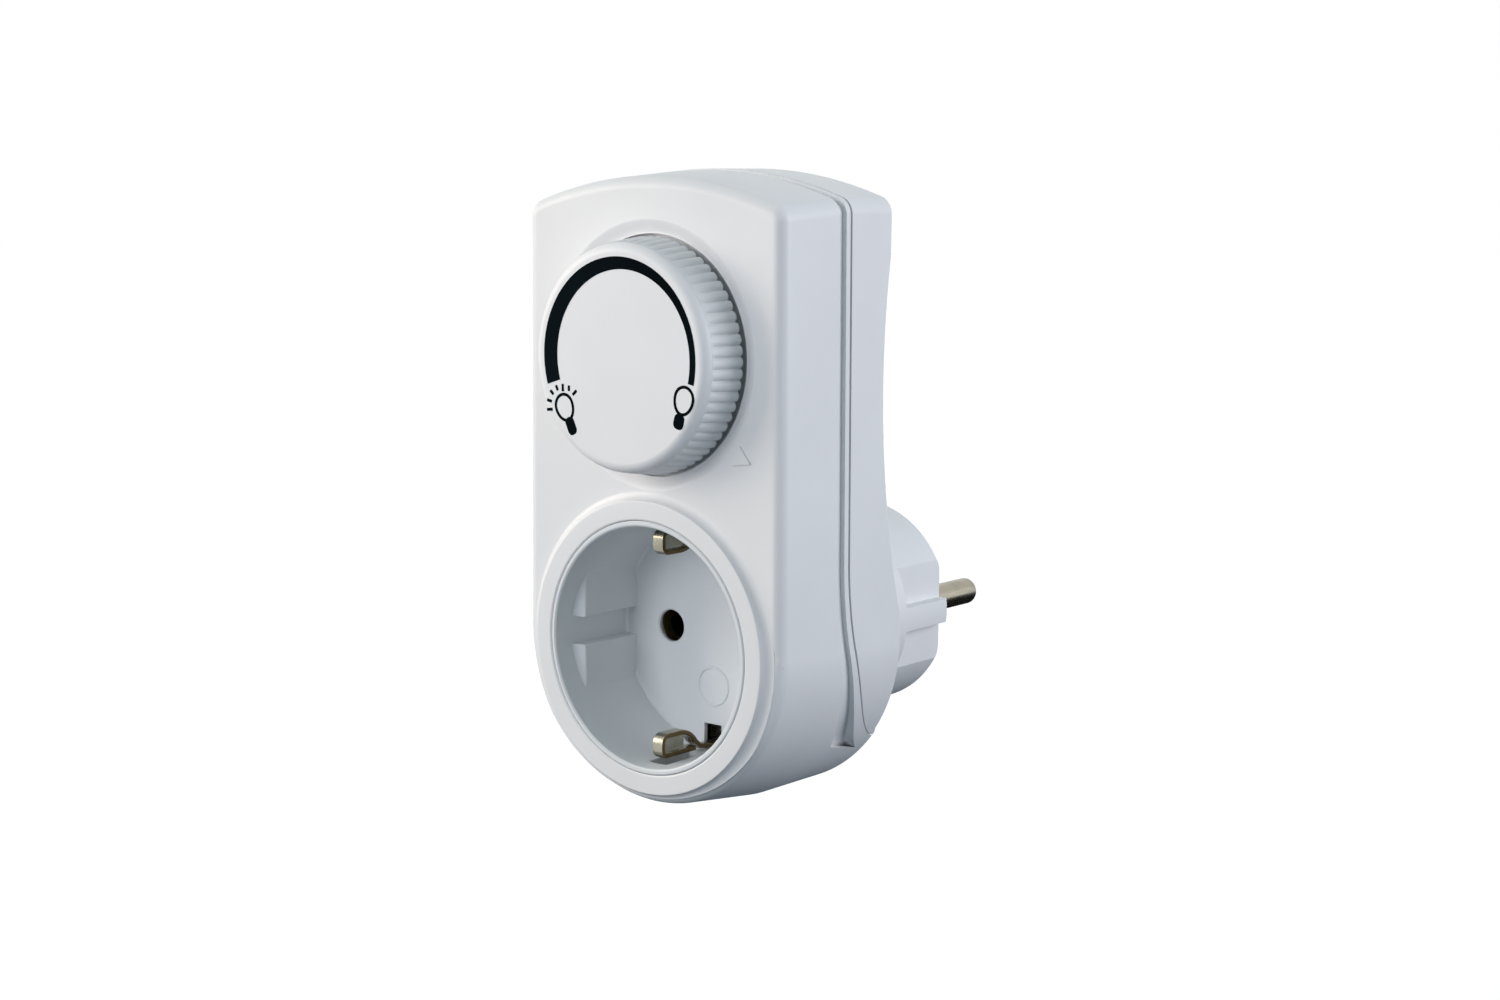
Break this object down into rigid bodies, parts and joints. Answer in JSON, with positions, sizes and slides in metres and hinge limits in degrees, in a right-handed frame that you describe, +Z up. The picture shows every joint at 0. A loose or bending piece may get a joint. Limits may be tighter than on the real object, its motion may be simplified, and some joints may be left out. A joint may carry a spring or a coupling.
{
  "type": "plug-in dimmer",
  "caption": "White plug-in rotary dimmer: ribbed turning knob above an earthed round outlet, with an earthed two-pin wall plug on its back.",
  "frame": {"origin": "centre of the plug face, the flat face that the two pins stand on", "axes": "+Y along the pins into the wall, +X to the right seen from the front, +Z up towards the knob"},
  "size_m": [0.056, 0.0869, 0.1058],
  "materials": {
    "case_plastic": "white moulded plastic, satin gloss",
    "knob_plastic": "white moulded plastic, satin gloss",
    "insert_plastic": "cool white moulded plastic",
    "nickel": "nickel plated, slightly worn",
    "brass": "stamped sheet",
    "insulation": "moulded thermoset",
    "board": "glass fibre laminate with lacquer",
    "steel": "zinc plated",
    "aluminium": "rolled sheet",
    "ferrite": "sintered, matt",
    "enamelled_wire": "lacquered copper",
    "black_resin": "moulded resin",
    "capacitor_yellow": "moulded box",
    "capacitor_red": "dipped lacquer",
    "diac_blue": "lacquered glass",
    "resistor_beige": "lacquered",
    "fuse_glass": "clear tube",
    "phenolic": "paper laminate"
  },
  "bodies": {
    "housing": {"front_cover": "case_plastic", "rear_cover": "case_plastic", "socket_insert": "insert_plastic", "earth_clip_top": "nickel", "earth_clip_bottom": "nickel", "earth_bridge": "nickel", "plug_earth_top": "nickel", "plug_earth_bottom": "nickel", "plug_pin_left": "nickel", "plug_pin_right": "nickel", "pin_carrier": "insulation", "socket_contact_left": "brass", "socket_contact_right": "brass", "contact_retainer": "insulation", "retainer_screws": "steel", "neutral_busbar": "brass", "live_in_strip": "brass", "live_out_strip": "brass", "circuit_board": "board", "board_screws": "steel", "triac": "black_resin", "triac_screw": "steel", "triac_nut": "steel", "heat_sink": "aluminium", "choke_core": "ferrite", "choke_winding": "enamelled_wire", "filter_capacitor": "capacitor_yellow", "timing_capacitor": "capacitor_red", "diac": "diac_blue", "resistors": "resistor_beige", "fuse": "fuse_glass", "fuse_clips": "nickel", "pot_body": "steel", "pot_track": "phenolic", "pot_bushing": "brass", "pot_washer": "steel", "pot_nut": "steel", "housing_screws": "steel"},
    "knob": {"knob": "knob_plastic", "pot_shaft": "aluminium", "pot_wiper": "phenolic"}
  },
  "joints": [
    {"name": "knob_turn", "type": "hinge", "parent": "housing", "child": "knob", "pos_m": [0, -0.0615, 0.04785], "axis": [0, 1, 0], "range_deg": [0, 260]}
  ]
}
